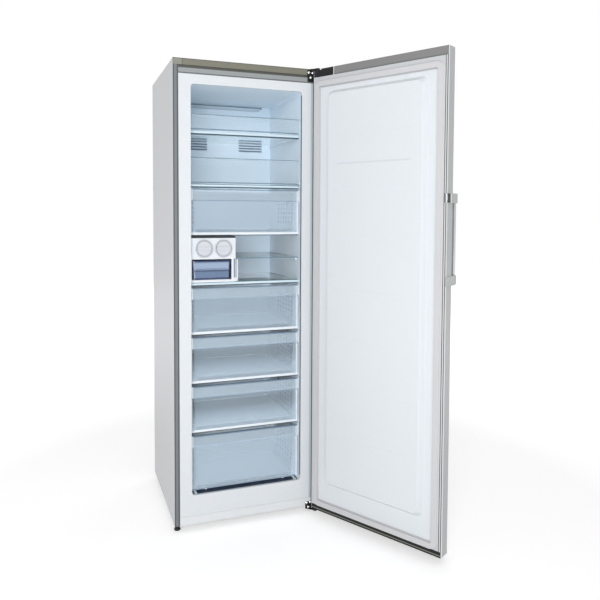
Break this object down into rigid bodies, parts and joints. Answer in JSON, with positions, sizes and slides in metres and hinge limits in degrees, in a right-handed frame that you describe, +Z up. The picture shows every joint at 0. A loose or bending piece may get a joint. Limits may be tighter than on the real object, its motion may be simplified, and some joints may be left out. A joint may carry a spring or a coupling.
{
  "type": "upright freezer",
  "caption": "Tall upright freezer with its door open on the right: steel cabinet, white liner, glass shelves, clear drawers and flaps, twist ice maker, compressor bay and lever handle.",
  "frame": {"origin": "on the floor, at the bottom centre of the box round the cabinet and its open door", "axes": "+Z up, -Y the front of the cabinet, +X to the right seen from the front"},
  "size_m": [0.9452, 1.1168, 1.853],
  "materials": {
    "steel_panel": "satin silver lacquer on sheet steel",
    "grey_brown_trim": "satin grey-brown moulding",
    "grey_trim": "satin light grey moulding",
    "white_rail": "white lacquer",
    "white_plastic": "smooth white moulding",
    "knob_white": "glossy white moulding",
    "zinc_sheet": "zinc-coated sheet steel",
    "rear_sheet": "matt grey coated sheet",
    "foam": "rigid polyurethane foam",
    "cover_plastic": "satin pale moulding",
    "fins": "bare fin stock",
    "motor": "satin moulding",
    "compressor_black": "semi-gloss black paint",
    "shelf_glass": "clear float glass",
    "clear_plastic": "clear moulding, faintly blue",
    "bucket_blue": "translucent slate-blue moulding",
    "black_plastic": "satin black moulding",
    "hinge_steel": "zinc-plated steel",
    "gasket": "soft grey seal",
    "handle_metal": "satin anodised",
    "handle_grey": "satin grey moulding"
  },
  "bodies": {
    "cabinet": {"side_panel_left": "steel_panel", "side_panel_right": "steel_panel", "top_plate": "steel_panel", "top_front_band": "grey_brown_trim", "top_cross_rail": "grey_trim", "bottom_cross_rail": "white_rail", "rear_panel": "rear_sheet", "base_pan": "zinc_sheet", "inner_liner": "white_plastic", "insulation_foam": "foam", "evaporator_cover": "cover_plastic", "evaporator": "fins", "fan_motor": "motor", "compressor": "compressor_black", "top_hinge": "hinge_steel", "hinge_cover": "black_plastic", "bottom_hinge": "hinge_steel", "ice_housing": "white_plastic", "side_shelf": "clear_plastic", "shelf_glass_1": "shelf_glass", "shelf_glass_2": "shelf_glass", "shelf_glass_3": "shelf_glass", "shelf_glass_4": "shelf_glass", "shelf_glass_5": "shelf_glass", "shelf_glass_6": "shelf_glass", "shelf_glass_7": "shelf_glass", "shelf_trim_1": "white_plastic", "shelf_trim_2": "white_plastic", "shelf_trim_3": "white_plastic", "shelf_trim_4": "white_plastic", "shelf_trim_5": "white_plastic", "shelf_trim_6": "white_plastic", "shelf_trim_7": "white_plastic"},
    "door": {"door_skin": "steel_panel", "door_top_cap": "grey_brown_trim", "door_bottom_cap": "black_plastic", "door_liner": "white_plastic", "door_foam": "foam", "door_gasket": "gasket", "handle_bracket_upper": "handle_grey", "handle_bracket_lower": "handle_grey"},
    "handle": {"handle_bar": "handle_metal"},
    "pusher": {"handle_pusher": "handle_grey"},
    "flap_top": {"flap_top": "clear_plastic"},
    "flap_second": {"flap_second": "clear_plastic"},
    "drawer_1": {"drawer_1": "clear_plastic"},
    "drawer_2": {"drawer_2": "clear_plastic"},
    "drawer_3": {"drawer_3": "clear_plastic"},
    "drawer_4": {"drawer_4": "clear_plastic"},
    "drawer_5": {"drawer_5": "clear_plastic"},
    "ice_bucket": {"ice_bucket": "bucket_blue"},
    "ice_twist_left": {"ice_knob_left": "knob_white", "ice_tray_left": "clear_plastic"},
    "ice_twist_right": {"ice_knob_right": "knob_white", "ice_tray_right": "clear_plastic"},
    "fan": {"fan_blades": "white_plastic"},
    "foot_left": {"foot_left": "black_plastic"},
    "roller_left": {"rear_roller_left": "black_plastic"},
    "foot_right": {"foot_right": "black_plastic"},
    "roller_right": {"rear_roller_right": "black_plastic"}
  },
  "joints": [
    {"name": "door_hinge", "type": "hinge", "parent": "cabinet", "child": "door", "pos_m": [0.11242, -0.03732, 0.93], "axis": [0, 0, 1], "range_deg": [-119.4, 8]},
    {"name": "handle_pull", "type": "hinge", "parent": "door", "child": "handle", "pos_m": [0.45662, -0.49132, 1.023], "axis": [-0.4909, 0.8712, 0], "range_deg": [0, 3], "stiffness_Nm_per_rad": 3},
    {"name": "pusher_slide", "type": "slide", "parent": "door", "child": "pusher", "axis": [-0.8712, -0.4909, 0], "range_m": [0, 0.0081]},
    {"name": "flap_top_hinge", "type": "hinge", "parent": "cabinet", "child": "flap_top", "pos_m": [-0.17508, 0.01269, 1.5935], "axis": [1, 0, 0], "range_deg": [0, 90]},
    {"name": "flap_second_hinge", "type": "hinge", "parent": "cabinet", "child": "flap_second", "pos_m": [-0.17508, 0.01269, 1.3855], "axis": [1, 0, 0], "range_deg": [0, 90]},
    {"name": "drawer_1_slide", "type": "slide", "parent": "cabinet", "child": "drawer_1", "axis": [0, -1, 0], "range_m": [0, 0.26]},
    {"name": "drawer_2_slide", "type": "slide", "parent": "cabinet", "child": "drawer_2", "axis": [0, -1, 0], "range_m": [0, 0.32]},
    {"name": "drawer_3_slide", "type": "slide", "parent": "cabinet", "child": "drawer_3", "axis": [0, -1, 0], "range_m": [0, 0.32]},
    {"name": "drawer_4_slide", "type": "slide", "parent": "cabinet", "child": "drawer_4", "axis": [0, -1, 0], "range_m": [0, 0.32]},
    {"name": "drawer_5_slide", "type": "slide", "parent": "cabinet", "child": "drawer_5", "axis": [0, -1, 0], "range_m": [0, 0.32]},
    {"name": "ice_bucket_slide", "type": "slide", "parent": "cabinet", "child": "ice_bucket", "axis": [0, -1, 0], "range_m": [0, 0.2]},
    {"name": "ice_twist_left", "type": "hinge", "parent": "cabinet", "child": "ice_twist_left", "pos_m": [-0.34908, 0.13669, 1.122], "axis": [0, 1, 0], "range_deg": [0, 140], "stiffness_Nm_per_rad": 0.1},
    {"name": "ice_twist_right", "type": "hinge", "parent": "cabinet", "child": "ice_twist_right", "pos_m": [-0.27108, 0.13669, 1.122], "axis": [0, 1, 0], "range_deg": [0, 140], "stiffness_Nm_per_rad": 0.1},
    {"name": "fan_spin", "type": "hinge", "parent": "cabinet", "child": "fan", "pos_m": [-0.17508, 0.43168, 1.06], "axis": [0, 1, 0], "continuous": true},
    {"name": "foot_left_screw", "type": "hinge", "parent": "cabinet", "child": "foot_left", "pos_m": [-0.45808, 0.01668, 0.02], "axis": [0, 0, 1], "continuous": true},
    {"name": "roller_left_spin", "type": "hinge", "parent": "cabinet", "child": "roller_left", "pos_m": [-0.42508, 0.50709, 0.013], "axis": [1, 0, 0], "continuous": true},
    {"name": "foot_right_screw", "type": "hinge", "parent": "cabinet", "child": "foot_right", "pos_m": [0.10792, 0.01668, 0.02], "axis": [0, 0, 1], "continuous": true},
    {"name": "roller_right_spin", "type": "hinge", "parent": "cabinet", "child": "roller_right", "pos_m": [0.07492, 0.50709, 0.013], "axis": [1, 0, 0], "continuous": true}
  ],
  "couplings": [
    {"joint": "pusher_slide", "follows": "handle_pull", "m_per_rad": 0.153}
  ]
}
